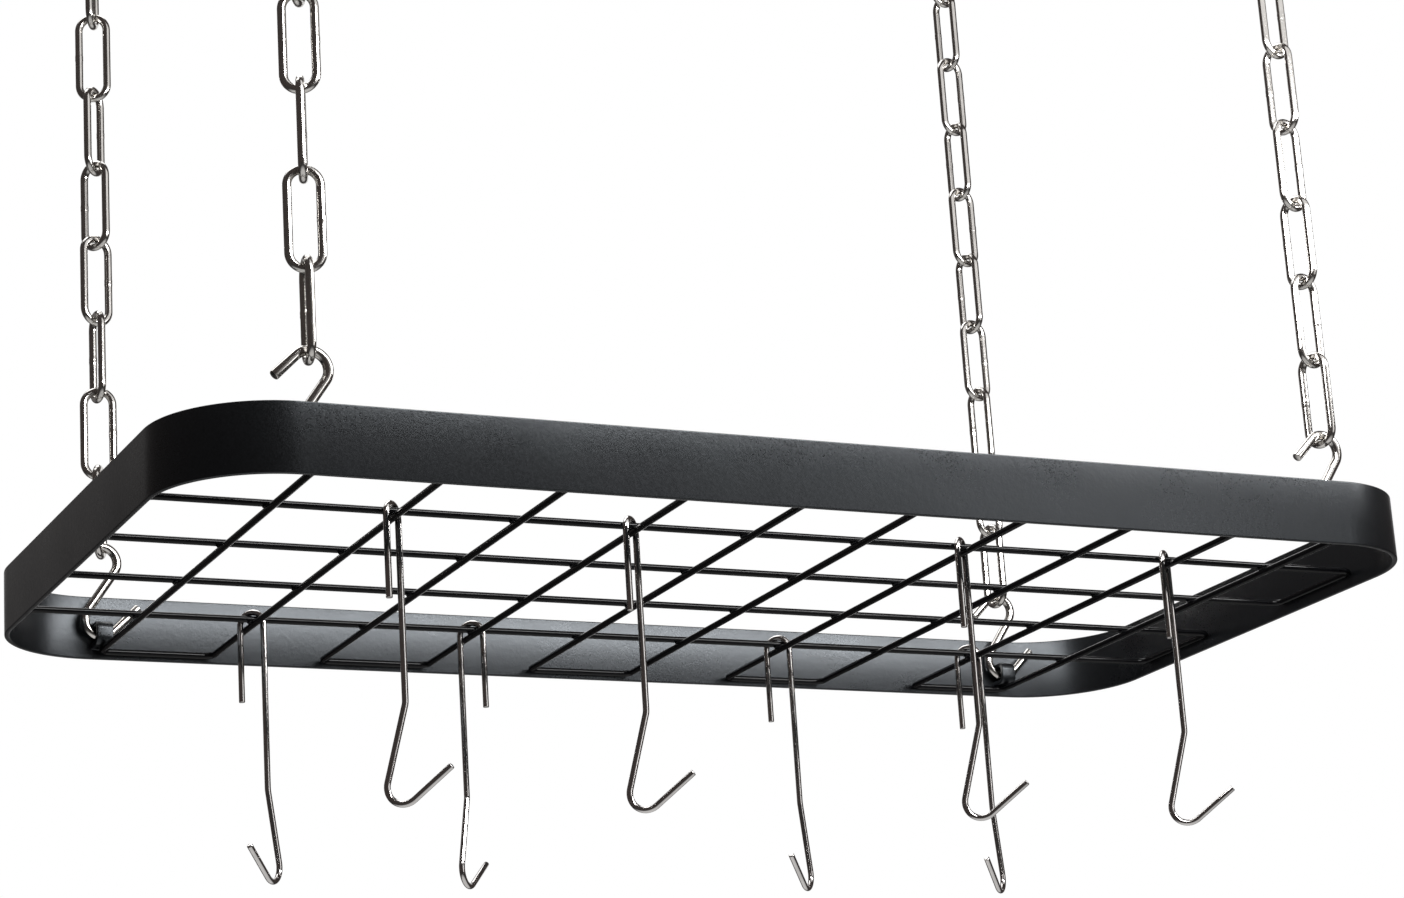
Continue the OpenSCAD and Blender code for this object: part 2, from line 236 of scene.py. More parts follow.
def add(tree, kind, inputs=(), operation=None, **settings):
    """Adds a node. Inputs gives its sockets' values, by name or in order; a node stands for its output in use."""
    made = tree.nodes.new(kind)
    if operation:
        made.operation = operation
    for key, value in settings.items():
        setattr(made, key, value)
    for key, value in inputs.items() if isinstance(inputs, dict) else enumerate(inputs):
        if isinstance(value, bpy.types.Node):
            value = next(output for output in value.outputs if output.enabled)
        if isinstance(value, bpy.types.NodeSocket):
            tree.links.new(value, made.inputs[key])
        else:
            made.inputs[key].default_value = value
    return made


def new_shape_tree(name, **kinds):
    """An empty geometry tree and its inputs, as a dict of sockets; kinds lists the labels of each kind of input."""
    tree = bpy.data.node_groups.new(name, "GeometryNodeTree")
    tree.interface.new_socket("Geometry", in_out="OUTPUT", socket_type="NodeSocketGeometry")
    for kind, labels in (kinds | {"Material": ["Material"]}).items():
        for label in labels:
            tree.interface.new_socket(label, in_out="INPUT", socket_type="NodeSocket" + kind)
    return tree, add(tree, "NodeGroupInput").outputs


def finish_shape_tree(tree, mesh, given):
    """Ends a tree in Realize Instances, smooth shading and Set Material."""
    real = add(tree, "GeometryNodeRealizeInstances", {"Geometry": mesh})
    smooth = add(tree, "GeometryNodeSetShadeSmooth", {"Geometry": real})
    dressed = add(tree, "GeometryNodeSetMaterial", {"Geometry": smooth, "Material": given["Material"]})
    add(tree, "NodeGroupOutput", {"Geometry": dressed})
    return tree


def swept(tree, curve, profile, scale=1.0, caps=False):
    """Sweeps a profile along a curve. The mesh keeps the length along the wire and the place round it."""
    length = add(tree, "GeometryNodeSplineParameter").outputs["Length"]
    path = add(tree, "GeometryNodeStoreNamedAttribute", {"Geometry": curve, "Name": "along", "Value": length})
    around = add(tree, "GeometryNodeInputPosition")
    ring = add(tree, "GeometryNodeStoreNamedAttribute", {"Geometry": profile, "Name": "around", "Value": around},
               data_type="FLOAT_VECTOR")
    return add(tree, "GeometryNodeCurveToMesh", {"Curve": path, "Profile Curve": ring, "Scale": scale,
                                                 "Fill Caps": caps})


def round_section(tree, diameter, sides):
    """The round section of a wire."""
    radius = add(tree, MATH, (diameter, 0.5), "MULTIPLY")
    return add(tree, "GeometryNodeCurvePrimitiveCircle", {"Resolution": sides, "Radius": radius})


def rounded_rectangle(tree, width, height, radius, steps):
    """A closed rectangle with round corners, as a curve in the XY plane."""
    outline = add(tree, "GeometryNodeCurvePrimitiveQuadrilateral", {"Width": width, "Height": height})
    return add(tree, "GeometryNodeFilletCurve", {"Curve": outline, "Radius": radius, "Count": steps,
                                                 "Limit Radius": True}, mode="POLY")


def wire_tree():
    """Round wire along every spline of the object's own curve, thicker or thinner where the curve's radius is."""
    tree, given = new_shape_tree("round_wire", Geometry=["Curve"], Float=["Wire diameter"], Int=["Sides"])
    section = round_section(tree, given["Wire diameter"], given["Sides"])
    mesh = swept(tree, given["Curve"], section, add(tree, "GeometryNodeInputRadius"), caps=True)
    return finish_shape_tree(tree, mesh, given)


def strap_tree():
    """Flat strap along the object's own curve, with its edges rounded by the coat."""
    tree, given = new_shape_tree("flat_strap", Geometry=["Curve"], Float=["Width", "Thickness", "Edge radius"],
                                 Vector=["Across"])
    flat = add(tree, "GeometryNodeSetCurveNormal", {"Curve": given["Curve"], "Normal": given["Across"]}, mode="FREE")
    profile = rounded_rectangle(tree, given["Width"], given["Thickness"], given["Edge radius"], STRAP_EDGE_STEPS)
    return finish_shape_tree(tree, swept(tree, flat, profile, caps=True), given)


def bar_tree():
    """Flat bar rolled into a closed rounded rectangle that stands on edge."""
    tree, given = new_shape_tree("bar_frame", Vector=["Place"], Float=[
        "Length", "Width", "Height", "Thickness", "Corner radius", "Edge radius"])
    half = add(tree, MATH, (given["Thickness"], 0.5), "MULTIPLY")
    # The route runs in the middle of the bar's thickness
    length, width, radius = (add(tree, MATH, pair, "SUBTRACT") for pair in (
        (given["Length"], given["Thickness"]), (given["Width"], given["Thickness"]), (given["Corner radius"], half)))
    route = rounded_rectangle(tree, length, width, radius, BAR_CORNER_STEPS)
    upright = add(tree, "GeometryNodeSetCurveNormal", {"Curve": route}, mode="Z_UP")
    profile = rounded_rectangle(tree, given["Thickness"], given["Height"], given["Edge radius"], BAR_EDGE_STEPS)
    placed = add(tree, "GeometryNodeTransform", {"Geometry": swept(tree, upright, profile),
                                                 "Translation": given["Place"]})
    return finish_shape_tree(tree, placed, given)


def loop_tree():
    """Closed rectangular loop of round wire that lies flat."""
    tree, given = new_shape_tree("wire_loop", Vector=["Place"], Float=[
        "Length", "Width", "Wire diameter", "Bend radius"])
    length, width = (add(tree, MATH, (given[side], given["Wire diameter"]), "SUBTRACT")
                     for side in ("Length", "Width"))
    route = rounded_rectangle(tree, length, width, given["Bend radius"], LOOP_BEND_STEPS)
    mesh = swept(tree, route, round_section(tree, given["Wire diameter"], LOOP_SIDES))
    placed = add(tree, "GeometryNodeTransform", {"Geometry": mesh, "Translation": given["Place"]})
    return finish_shape_tree(tree, placed, given)


def chain_tree():
    """Links of a chain that hangs down from its first link, each a quarter turn from the next but for the twist."""
    tree, given = new_shape_tree("chain", Int=["First link", "Links", "Links in chain", "Twisted links"],
                                 Vector=["Place"], Float=["Pitch", "Inner length", "Inner width", "Wire diameter",
                                                          "Weld bulge", "Lowest twist", "Twist a link"])
    wire = given["Wire diameter"]
    width = add(tree, MATH, (given["Inner width"], wire), "ADD")
    length = add(tree, MATH, (given["Inner length"], wire), "ADD")
    bend = add(tree, MATH, (width, 0.5), "MULTIPLY")
    route = rounded_rectangle(tree, width, length, bend, LINK_BEND_STEPS)
    fine = add(tree, "GeometryNodeResampleCurve", {"Curve": route, "Length": LINK_POINT_GAP}, mode="LENGTH")
    # The weld is in the middle of one leg: a bulge with a fine groove round it
    place = add(tree, "ShaderNodeSeparateXYZ", (add(tree, "GeometryNodeInputPosition"),))
    off_weld = add(tree, MATH, (place.outputs["Y"],), "ABSOLUTE")
    bulge, groove = (add(tree, RANGE, (off_weld, 0.0, reach, depth, 0.0), interpolation_type="SMOOTHSTEP")
                     for reach, depth in ((WELD_REACH, given["Weld bulge"]), (GROOVE_REACH, GROOVE_DEPTH)))
    raised = add(tree, MATH, (bulge, groove), "SUBTRACT")
    on_leg = add(tree, MATH, (place.outputs["X"], 0.0), "GREATER_THAN")
    thickness = add(tree, MATH, (raised, on_leg, 1.0), "MULTIPLY_ADD")
    link = swept(tree, fine, round_section(tree, wire, LINK_SIDES), thickness)
    upright = add(tree, "GeometryNodeTransform", {"Geometry": link, "Rotation": (QUARTER_TURN, 0, 0)})

    fall = add(tree, MATH, (given["Pitch"], -1.0), "MULTIPLY")
    drop = add(tree, "ShaderNodeCombineXYZ", {"Z": fall})
    places = add(tree, "GeometryNodeMeshLine", {"Count": given["Links"], "Start Location": given["Place"],
                                                "Offset": drop})
    number = add(tree, MATH, (add(tree, "GeometryNodeInputIndex"), given["First link"]), "ADD")
    odd = add(tree, MATH, (number, 2.0), "MODULO")
    even = add(tree, MATH, (1.0, odd), "SUBTRACT")
    quarter = add(tree, MATH, (even, QUARTER_TURN), "MULTIPLY")
    left_over = add(tree, MATH, (given["Links in chain"], number), "SUBTRACT")
    above = add(tree, MATH, (left_over, given["Twisted links"]), "MINIMUM")
    twist = add(tree, MATH, (above, given["Twist a link"], given["Lowest twist"]), "MULTIPLY_ADD")
    turn = add(tree, "ShaderNodeCombineXYZ", {"Z": add(tree, MATH, (quarter, twist), "ADD")})
    links = add(tree, "GeometryNodeInstanceOnPoints", {"Points": places, "Instance": upright, "Rotation": turn})
    return finish_shape_tree(tree, links, given)


def weld_tree():
    """Flattened blobs of weld under the coat, one at each crossing of the grid."""
    tree, given = new_shape_tree("grid_welds", Float=["Length", "Width", "Bead radius"], Int=["Along", "Across"],
                                 Vector=["Place"])
    grid = add(tree, "GeometryNodeMeshGrid", {"Size X": given["Length"], "Size Y": given["Width"],
                                              "Vertices X": given["Along"], "Vertices Y": given["Across"]})
    moved = add(tree, "GeometryNodeTransform", {"Geometry": grid, "Translation": given["Place"]})
    blob = add(tree, "GeometryNodeMeshUVSphere", {"Segments": 14, "Rings": 8, "Radius": given["Bead radius"]})
    flat = add(tree, "GeometryNodeTransform", {"Geometry": blob, "Scale": BLOB_SHAPE})
    spin = add(tree, "FunctionNodeRandomValue", {"Max": BLOB_MOST_SPIN, "Seed": 4}, data_type="FLOAT")
    size = add(tree, "FunctionNodeRandomValue", {"Min": BLOB_SIZES[0], "Max": BLOB_SIZES[1], "Seed": 9},
               data_type="FLOAT")
    turn = add(tree, "ShaderNodeCombineXYZ", {"Z": spin})
    blobs = add(tree, "GeometryNodeInstanceOnPoints", {"Points": moved, "Instance": flat, "Rotation": turn,
                                                       "Scale": size})
    return finish_shape_tree(tree, blobs, given)


def screw_tree():
    """Round wire along the object's own curve, whose part above the ceiling is cut with a thread."""
    tree, given = new_shape_tree("screw_wire", Geometry=["Curve"], Int=["Thread turns"], Float=[
        "Wire diameter", "Thread start", "Thread pitch", "Thread depth"])
    section = round_section(tree, given["Wire diameter"], SCREW_SIDES)
    wire = swept(tree, given["Curve"], section, add(tree, "GeometryNodeInputRadius"), caps=True)
    # How far up the thread a point is, in turns, plus its own place round the shank
    around = add(tree, "GeometryNodeInputNamedAttribute", {"Name": "around"}, data_type="FLOAT_VECTOR")
    ring = add(tree, "ShaderNodeSeparateXYZ", (around,)).outputs
    angle = add(tree, MATH, (ring["Y"], ring["X"]), "ARCTAN2")
    height = add(tree, "ShaderNodeSeparateXYZ", (add(tree, "GeometryNodeInputPosition"),)).outputs["Z"]
    above = add(tree, MATH, (height, given["Thread start"]), "SUBTRACT")
    climbed = add(tree, MATH, (above, given["Thread pitch"]), "DIVIDE")
    part_turn = add(tree, MATH, (angle, 2 * math.pi), "DIVIDE")
    turns = add(tree, MATH, (climbed, part_turn), "ADD")
    phase = add(tree, MATH, (turns,), "FRACT")
    # A wood screw's thread: a flat root, two flanks and a narrow crest
    off_crest = add(tree, MATH, (phase, 0.5), "SUBTRACT")
    beside = add(tree, MATH, (off_crest,), "ABSOLUTE")
    flank = add(tree, MATH, (1.0, beside), "SUBTRACT")
    root = add(tree, RANGE, (flank, THREAD_ROOT, THREAD_CREST, 1.0, 0.0))
    started = add(tree, RANGE, (climbed, 0.0, 1.0))
    # The cut fades in over the first turn and ends where the shank begins to taper to its tip
    share = add(tree, MATH, (root, started), "MULTIPLY")
    depth = add(tree, MATH, (share, given["Thread depth"]), "MULTIPLY")
    inwards = add(tree, MATH, (depth, -1.0), "MULTIPLY")
    last = add(tree, MATH, (given["Thread turns"], THREAD_SLACK), "ADD")
    below_tip = add(tree, MATH, (climbed, last), "LESS_THAN")
    move = add(tree, MATH, (inwards, below_tip), "MULTIPLY")
    inward = add(tree, VECTOR_MATH, {0: add(tree, "GeometryNodeInputNormal"), "Scale": move}, "SCALE")
    cut = add(tree, "GeometryNodeSetPosition", {"Geometry": wire, "Offset": inward})
    return finish_shape_tree(tree, cut, given)


SHAPE_TREES = {}


def shape_tree(make):
    """Each kind of shape has one tree, made when it is first asked for."""
    if make not in SHAPE_TREES:
        SHAPE_TREES[make] = make()
    return SHAPE_TREES[make]


# ---- From a tree to a finished piece

# Edges that turn by more than this stay sharp, and a bend has a point at least this often
SHARP_ANGLE, BEND_STEP = math.radians(38), math.radians(6)
# Radius that tumbling leaves on a cut end, and the angles at which its rounding has points
CUT_RADIUS, CUT_ANGLES = 0.45 * MM, [math.radians(a) for a in (90, 60, 30, 0)]


def new_object(name, data):
    """An object in the scene with this data."""
    made = bpy.data.objects.new(name, data)
    bpy.context.scene.collection.objects.link(made)
    return made


def grow(name, make, values, source=None):
    """Runs a shape tree on the source, or on nothing, and returns a plain mesh object at the origin."""
    seed = new_object(name + "_seed", source or bpy.data.meshes.new(name + "_seed"))
    tree = shape_tree(make)
    modifier = seed.modifiers.new(name, "NODES")
    modifier.node_group = tree
    sockets = {item.name: item.identifier for item in tree.interface.items_tree if item.in_out == "INPUT"}
    for label, value in values.items():
        modifier[sockets[label]] = value
    mesh = bpy.data.meshes.new_from_object(seed.evaluated_get(bpy.context.evaluated_depsgraph_get()))
    mesh.name = name
    bpy.data.objects.remove(seed)
    sharpen(mesh)
    return new_object(name, mesh)


def sharpen(mesh):
    """Marks the edges of cut ends as sharp, so that the rest can be shaded smooth."""
    between = {}
    for face in mesh.polygons:
        for key in face.edge_keys:
            between.setdefault(key, []).append(face.normal)
    for edge in mesh.edges:
        normals = between.get(edge.key, [])
        edge.use_edge_sharp = len(normals) == 2 and normals[0].angle(normals[1], 0.0) > SHARP_ANGLE


def fit_to_body(piece, body, slot, *nodes):
    """The piece stands for these CAD nodes and moves with their body."""
    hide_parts(*nodes)
    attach(piece, body)


def curve_through(name, *wires):
    """A curve with one spline for each wire; a wire is a list of (point, thickness)."""
    curve = bpy.data.curves.new(name, "CURVE")
    curve.dimensions = "3D"
    for wire in wires:
        spline = curve.splines.new("POLY")
        spline.points.add(len(wire) - 1)
        for slot, (point, thickness) in zip(spline.points, wire):
            slot.co = (*point, 1.0)
            slot.radius = thickness
    return curve


def bent(start, heading, left, steps):
    """Points along a wire bent on a bench. A step is (straight length, bend radius, turn to the left, roll)."""
    place, heading, left = Vector(start), Vector(heading), Vector(left)
    points = [place.copy()]
    for run, radius, turn, roll in steps:
        left = Matrix.Rotation(roll, 3, heading) @ left
        place = place + heading * run
        points.append(place.copy())
        if turn:
            side = math.copysign(1.0, turn)
            axis = heading.cross(left)
            centre = place + left * radius * side
            count = max(2, math.ceil(abs(turn) / BEND_STEP))
            for i in range(1, count + 1):
                swing = Matrix.Rotation(turn * i / count, 3, axis)
                points.append(centre + swing @ (place - centre))
            whole = Matrix.Rotation(turn, 3, axis)
            place, heading, left = points[-1].copy(), whole @ heading, whole @ left
    return points


def cut_ends(points, wire, last=True):
    """Gives each point its thickness: even along the wire, and rounded off by the tumbler at its cut ends."""
    body = [(point, 1.0) for point in points]

    def rounded(end, inward):
        direction = (inward - end).normalized()
        return [(end + direction * CUT_RADIUS * (1 - math.sin(a)), 1 - (1 - math.cos(a)) * 2 * CUT_RADIUS / wire)
                for a in CUT_ANGLES]

    body[:1] = rounded(points[0], points[1])
    if last:
        body[-1:] = reversed(rounded(points[-1], points[-2]))
    return body


# ---- Finishes. Every pattern's scale comes from a size in millimetres.

def every(size_mm):
    """Scale of a noise whose grains are this many millimetres wide."""
    return 1 / (size_mm * MM)


def emptied_tree(owner):
    """The node tree of a material or a world, with nothing in it."""
    owner.use_nodes = True
    owner.node_tree.nodes.clear()
    return owner.node_tree


def new_finish(name):
    """A material with an empty tree, as (material, tree, place on the object)."""
    material = bpy.data.materials.new(name)
    tree = emptied_tree(material)
    return material, tree, add(tree, "ShaderNodeTexCoord").outputs["Object"]


def end_finish(material, sockets):
    """Ends a material in a shader with these constants and links on its sockets."""
    shader = add(material.node_tree, "ShaderNodeBsdfPrincipled", sockets)
    add(material.node_tree, "ShaderNodeOutputMaterial", {"Surface": shader})
    return material


def scaled(colour, part):
    """The colour with its linear light scaled by this part."""
    return tuple(c * part for c in colour[:3]) + (1.0,)


def powder_coat(colour):
    """Satin polyester powder, sprayed and baked: a blue-black with a soft sheen, fine grain and faint orange peel."""
    material, tree, place = new_finish("satin_powder_coat")
    full = linear(colour)
    # The coat is a little thicker, and so deeper in colour, in patches as wide as a hand
    patches = add(tree, NOISE, {"Vector": place, "Scale": every(70), "Detail": 3.0})
    deep = add(tree, RANGE, (patches, 0.35, 0.65))
    tone = add(tree, MIX, {"Factor": deep, "A": full, "B": scaled(full, 0.8)}, data_type="RGBA")
    satin = add(tree, RANGE, (patches, 0.3, 0.7, 0.28, 0.34))
    # Powder grains melt to specks of a quarter millimetre; they are drawn at 1.2 mm to show at all
    grain = add(tree, NOISE, {"Vector": place, "Scale": every(1.2)})
    clear = add(tree, RANGE, (grain, 0.3, 0.7))
    specks = add(tree, MIX, {"Factor": clear, "A": scaled(full, 0.5), "B": tone}, data_type="RGBA")
    rough_specks = add(tree, RANGE, (grain, 0.35, 0.65, -0.03, 0.03))
    # Orange peel: shallow dimples about 3 mm apart
    peel = add(tree, NOISE, {"Vector": place, "Scale": every(3), "Detail": 1.0})
    dimples = add(tree, BUMP, {"Height": peel, "Strength": 0.35, "Distance": 0.15 * MM})
    pimples = add(tree, BUMP, {"Height": grain, "Strength": 0.5, "Distance": 0.06 * MM, "Normal": dimples})
    return end_finish(material, {
        "Base Color": specks,
        "Roughness": add(tree, MATH, (satin, rough_specks), "ADD"),
        "Normal": pimples,
        "Specular IOR Level": 0.5,
        "Specular Tint": (0.88, 0.94, 1.0, 1.0),
    })


def wire_enamel(colour):
    """Black enamel on drawn wire, dipped and stoved: near black and glossy, with the wire's faint waviness."""
    material, tree, place = new_finish("glossy_black_enamel")
    full = linear(colour)
    drift = add(tree, NOISE, {"Vector": place, "Scale": every(25)})
    # The dip leaves slow runs a few millimetres long
    runs = add(tree, NOISE, {"Vector": place, "Scale": every(4), "Detail": 1.0})
    return end_finish(material, {
        "Base Color": add(tree, MIX, {"Factor": drift, "A": full, "B": scaled(full, 1.6)}, data_type="RGBA"),
        "Roughness": add(tree, RANGE, (drift, 0.3, 0.7, 0.1, 0.17)),
        "Normal": add(tree, BUMP, {"Height": runs, "Strength": 0.3, "Distance": 0.25 * MM}),
        "Specular IOR Level": 0.18,
    })


def plated_wire(name, colour, rough, line_mm, depth_mm, stain):
    """Plated drawn wire: die lines run along it, and handling leaves it faintly uneven."""
    material, tree, place = new_finish(name)
    full = linear(colour)
    ring = add(tree, "ShaderNodeSeparateXYZ", (
        add(tree, "ShaderNodeAttribute", attribute_name="around").outputs["Vector"],)).outputs
    along = add(tree, "ShaderNodeAttribute", attribute_name="along").outputs["Fac"]
    # A die line is fifty times as long as it is wide
    stretched = add(tree, MATH, (along, 1 / 50), "MULTIPLY")
    on_wire = add(tree, "ShaderNodeCombineXYZ", (ring["X"], ring["Y"], stretched))
    lines = add(tree, NOISE, {"Vector": on_wire, "Scale": every(line_mm)})
    clouds = add(tree, NOISE, {"Vector": place, "Scale": every(9), "Detail": 3.0})
    stained = add(tree, RANGE, (clouds, 0.4, 0.75, 0.0, stain))
    return end_finish(material, {
        "Base Color": add(tree, MIX, {"Factor": stained, "A": full, "B": scaled(full, 0.55)}, data_type="RGBA"),
        "Roughness": add(tree, RANGE, (clouds, 0.3, 0.7, *rough)),
        "Normal": add(tree, BUMP, {"Height": lines, "Strength": 0.5, "Distance": depth_mm * MM}),
        "Metallic": 1.0,
    })


def nickel_plate(colour):
    """Bright nickel on steel links and S-hooks: warm silver, with soft streaks from the drawn wire below."""
    return plated_wire("bright_nickel_plate", colour, (0.13, 0.19), line_mm=0.5, depth_mm=0.0015, stain=0.5)


def chrome_plate(colour):
    """Chrome on hook wire: nearly a mirror, cold and clear, with faint die lines."""
    return plated_wire("chrome_plate", colour, (0.07, 0.12), line_mm=0.6, depth_mm=0.0015, stain=0.25)


def zinc_plate(colour):
    """Bright zinc on the ceiling hooks: a greyer, softer shine than nickel, faintly clouded."""
    return plated_wire("bright_zinc_plate", colour, (0.24, 0.38), line_mm=0.4, depth_mm=0.01, stain=0.7)


FINISHES = {}


def finish(make, colour):
    """Each finish is made once, when a piece first asks for it."""
    if make not in FINISHES:
        FINISHES[make] = make(colour)
    return FINISHES[make]


# ---- The pieces

class POTRACK_OT_bar_frame(bpy.types.Operator):
    """Rolls the flat bar of the frame"""
    bl_idname = "potrack.bar_frame"
    bl_label = "Bar frame"

    def execute(self, context):
        rack = context.scene.pot_rack_frame
        piece = grow("coated_bar_frame", bar_tree, {
            "Length": BAR.x, "Width": BAR.y, "Height": BAR.z, "Thickness": rack.bar_thickness,
            "Corner radius": rack.corner_radius, "Edge radius": rack.bar_edge, "Place": middle_of("bar_frame"),
            "Material": finish(powder_coat, rack.coat_colour)})
        fit_to_body(piece, "rack_frame", "black_powder_coat", "bar_frame")
        return {"FINISHED"}


class POTRACK_OT_grid(bpy.types.Operator):
    """Bends the wire loops of the grid and sets their welds"""
    bl_idname = "potrack.grid"
    bl_label = "Grid"

    def execute(self, context):
        rack = context.scene.pot_rack_frame
        enamel = finish(wire_enamel, rack.dip_colour)
        for node in CROSS_LOOPS + LONG_LOOPS:
            size = size_of(node)
            piece = grow("enamelled_" + node, loop_tree, {
                "Length": size.x, "Width": size.y, "Wire diameter": GRID_WIRE, "Bend radius": rack.loop_bend,
                "Place": middle_of(node), "Material": enamel})
            fit_to_body(piece, "rack_frame", "black_enamel", node)
        pitch_x = size_of(CROSS_LOOPS[0]).x - GRID_WIRE
        pitch_y = size_of(LONG_LOOPS[0]).y - GRID_WIRE
        inside = Vector((BAR.x, BAR.y, 0)) - Vector((1, 1, 0)) * 2 * rack.bar_thickness
        # Welds: one at each crossing, and one where each loop's end lies along the bar
        spots = {
            "crossing_welds": (pitch_x * (2 * len(CROSS_LOOPS) - 1), pitch_y * (2 * len(LONG_LOOPS) - 1),
                               2 * len(CROSS_LOOPS), 2 * len(LONG_LOOPS), (CROSS_Z + LONG_Z) / 2),
            "cross_loop_end_welds": (pitch_x * 2 * (len(CROSS_LOOPS) - 1), inside.y, len(CROSS_LOOPS), 2, CROSS_Z),
            "long_loop_end_welds": (inside.x, pitch_y * 2 * (len(LONG_LOOPS) - 1), 2, len(LONG_LOOPS), LONG_Z),
        }
        for name, (length, width, along, across, height) in spots.items():
            piece = grow(name, weld_tree, {
                "Length": length, "Width": width, "Along": along, "Across": across, "Bead radius": rack.weld_reach,
                "Place": Vector((0, 0, height)), "Material": enamel})
            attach(piece, "rack_frame")
        return {"FINISHED"}


# Steps along a weld run, the part of a half wave that each end lacks, and how blunt the ends are
BEAD_STEPS, BEAD_END, BEAD_BLUNTNESS = 24, 0.06, 0.35
# Its ripples: height, radians along the run, and how often the seed shifts them
BEAD_RIPPLES = ((0.13, 13 * math.pi, 1), (0.05, 17, 3))
# How far a lug's bead lies off the strap, in bead radii, and off the bar
BEAD_OFF_STRAP, BEAD_OFF_BAR = 0.15, 0.2 * MM


def weld_bead(start, end, seed):
    """Points along a short weld run, thicker and thinner as the weld was laid ripple by ripple."""
    points = []
    for i in range(BEAD_STEPS + 1):
        part = i / BEAD_STEPS
        ends = math.sin(math.pi * (BEAD_END + (1 - 2 * BEAD_END) * part)) ** BEAD_BLUNTNESS
        ripple = 1 + sum(height * math.sin(rate * part + shift * seed) for height, rate, shift in BEAD_RIPPLES)
        points.append((start + (end - start) * part, ends * ripple))
    return points


class POTRACK_OT_lugs(bpy.types.Operator):
    """Folds the hanger lugs and welds them to the bar"""
    bl_idname = "potrack.lugs"
    bl_label = "Hanger lugs"

    def execute(self, context):
        rack = context.scene.pot_rack_frame
        thickness = rack.bar_thickness
        bend = rack.lug_bend - thickness / 2
        coat = finish(powder_coat, rack.coat_colour)
        for corner in CORNERS:
            node = "hanger_lug_" + corner
            low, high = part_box(node)
            size, centre = high - low, (low + high) / 2
            outward = Vector((0, math.copysign(1.0, centre.y), 0))
            at_bar = Vector((centre.x, (high if outward.y > 0 else low).y, 0))
            top = at_bar + Vector((0, 0, high.z - thickness / 2))
            bottom = at_bar + Vector((0, 0, low.z + thickness / 2))
            leg = size.y - rack.lug_bend
            path = bent(top, -outward, Vector((0, 0, -1)),
                        [(leg, bend, QUARTER_TURN, 0), (size.z - 2 * rack.lug_bend, bend, QUARTER_TURN, 0),
                         (leg, 0, 0, 0)])
            piece = grow("folded_" + node, strap_tree, {
                "Width": size.x, "Thickness": thickness, "Edge radius": rack.bar_edge,
                "Across": Vector((1, 0, 0)), "Material": coat}, curve_through(node, [(p, 1.0) for p in path]))
            fit_to_body(piece, "rack_frame", "black_powder_coat", node)
            # A bead above the upper leg and one below the lower leg
            reach = Vector((size.x / 2, 0, 0))
            beads = []
            for n, (place, side) in enumerate(((top, 1), (bottom, -1))):
                off_strap = thickness / 2 + rack.weld_reach * BEAD_OFF_STRAP
                line = place + Vector((0, 0, side * off_strap)) - outward * BEAD_OFF_BAR
                # Any number that differs from bead to bead
                seed = 2.3 * n + centre.x * 7 + centre.y
                beads.append(weld_bead(line - reach, line + reach, seed))
            weld = grow("lug_welds_" + corner, wire_tree, {
                "Wire diameter": 2 * rack.weld_reach, "Sides": BEAD_SIDES, "Material": coat,
            }, curve_through("lug_welds_" + corner, *beads))
            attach(weld, "rack_frame")
        return {"FINISHED"}


class POTRACK_OT_s_hooks(bpy.types.Operator):
    """Bends the S-hooks between the lugs and the chains"""
    bl_idname = "potrack.s_hooks"
    bl_label = "S-hooks"

    def execute(self, context):
        hanging = context.scene.pot_rack_hanging
        radius = hanging.curl_radius
        slope = hanging.tail_angle
        for corner in CORNERS:
            node = "s_hook_" + corner
            low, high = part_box(node)
            wire = high.y - low.y
            chain = middle_of(f"chain_{corner}_link_1")
            upper = high.z - wire / 2 - radius
            between = upper - (low.z + wire / 2 + radius)
            lean = math.asin(2 * radius / between)
            curl = QUARTER_TURN + lean + slope
            heading = Vector((math.cos(slope), 0, math.sin(slope)))
            left = Vector((-math.sin(slope), 0, math.cos(slope)))
            start = Vector((chain.x, chain.y, upper)) - heading * hanging.upper_tail + left * radius
            path = bent(start, heading, left, [
                (hanging.upper_tail, radius, -curl, 0),
                (between * math.cos(lean), radius, curl, 0),
                (hanging.lower_tail, 0, 0, 0),
            ])
            piece = grow("bent_" + node, wire_tree, {
                "Wire diameter": wire, "Sides": S_HOOK_SIDES,
                "Material": finish(nickel_plate, hanging.nickel_colour)}, curve_through(node, cut_ends(path, wire)))
            fit_to_body(piece, node, "nickel_plate", node)
        return {"FINISHED"}


class POTRACK_OT_chains(bpy.types.Operator):
    """Bends, welds and hangs the links of the four chains"""
    bl_idname = "potrack.chains"
    bl_label = "Chains"

    def execute(self, context):
        hanging = context.scene.pot_rack_hanging
        nickel = finish(nickel_plate, hanging.nickel_colour)
        for corner in CORNERS:
            chain = f"chain_{corner}"
            lowest, added = (math.radians(a) for a in TWIST[corner])
            lower_nodes = [f"{chain}_link_{i}" for i in range(2, SINGLE_LINKS + 1)] + [chain + "_lower_links"]
            parts = {
                "top_link_" + corner: (1, 1, [chain + "_link_1"]),
                "lower_chain_" + corner: (2, LINKS - 1, lower_nodes),
            }
            for body, (first, count, nodes) in parts.items():
                piece = grow("welded_" + body, chain_tree, {
                    "First link": first, "Links": count, "Links in chain": LINKS, "Pitch": LINK_PITCH,
                    "Inner length": hanging.link_length, "Inner width": hanging.link_width,
                    "Wire diameter": hanging.link_wire, "Weld bulge": hanging.weld_bulge,
                    "Lowest twist": lowest, "Twist a link": added, "Twisted links": TWISTED_LINKS,
                    "Place": middle_of(nodes[0]), "Material": nickel})
                fit_to_body(piece, body, "nickel_plate", *nodes)
        return {"FINISHED"}


